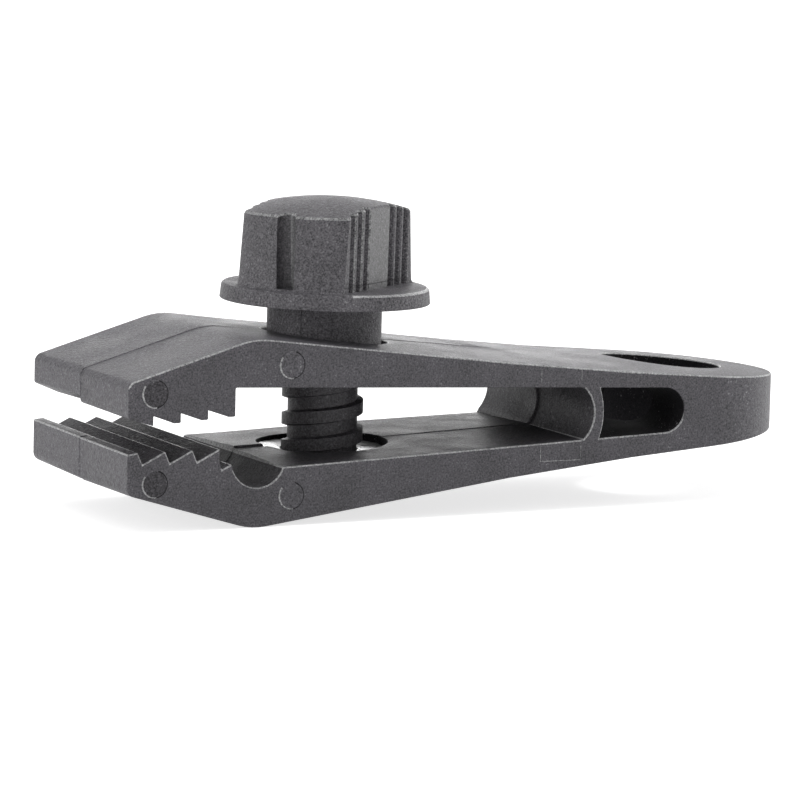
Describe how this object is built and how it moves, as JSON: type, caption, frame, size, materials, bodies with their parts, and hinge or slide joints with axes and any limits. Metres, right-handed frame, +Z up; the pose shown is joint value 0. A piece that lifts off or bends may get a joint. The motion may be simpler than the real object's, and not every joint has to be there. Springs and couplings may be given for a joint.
{
  "type": "tarp clip",
  "caption": "Screw clip for a tarpaulin edge: toothed jaws on a curved web, drawn together by a ribbed thumb screw, with a round eyelet tail.",
  "frame": {"origin": "centre of the eyelet at the height of the body's mid-line, half way across the jaws", "axes": "+X from the mouth to the tail, +Y across the jaws, +Z up the screw towards the knob"},
  "size_m": [0.083, 0.0251, 0.0335],
  "materials": {
    "body_plastic": "dark grey moulded nylon with a fine spark-eroded grain",
    "screw_plastic": "dark grey moulded nylon, a little smoother than the body"
  },
  "bodies": {
    "clip_body": {"lower_jaw_and_tail": "body_plastic"},
    "upper_arm": {"upper_jaw": "body_plastic"},
    "screw_feed_body": {"screw_flange_neck": "screw_plastic"},
    "screw_body": {"thumb_screw": "screw_plastic"}
  },
  "joints": [
    {"name": "jaw_close", "type": "hinge", "parent": "clip_body", "child": "upper_arm", "pos_m": [-0.0143, 0, 0.00354], "axis": [0, -1, 0], "range_deg": [0, 3.3]},
    {"name": "screw_feed", "type": "slide", "parent": "clip_body", "child": "screw_feed_body", "axis": [0, 0, -1], "range_m": [0, 0.00475]},
    {"name": "screw_turn", "type": "hinge", "parent": "screw_feed_body", "child": "screw_body", "pos_m": [-0.042, 0, 0], "axis": [0, 0, -1], "range_deg": [0, 570]}
  ],
  "couplings": [
    {"joint": "screw_feed", "follows": "screw_turn", "m_per_rad": 0.00047746},
    {"joint": "jaw_close", "follows": "screw_turn", "ratio": 0.0057894}
  ]
}
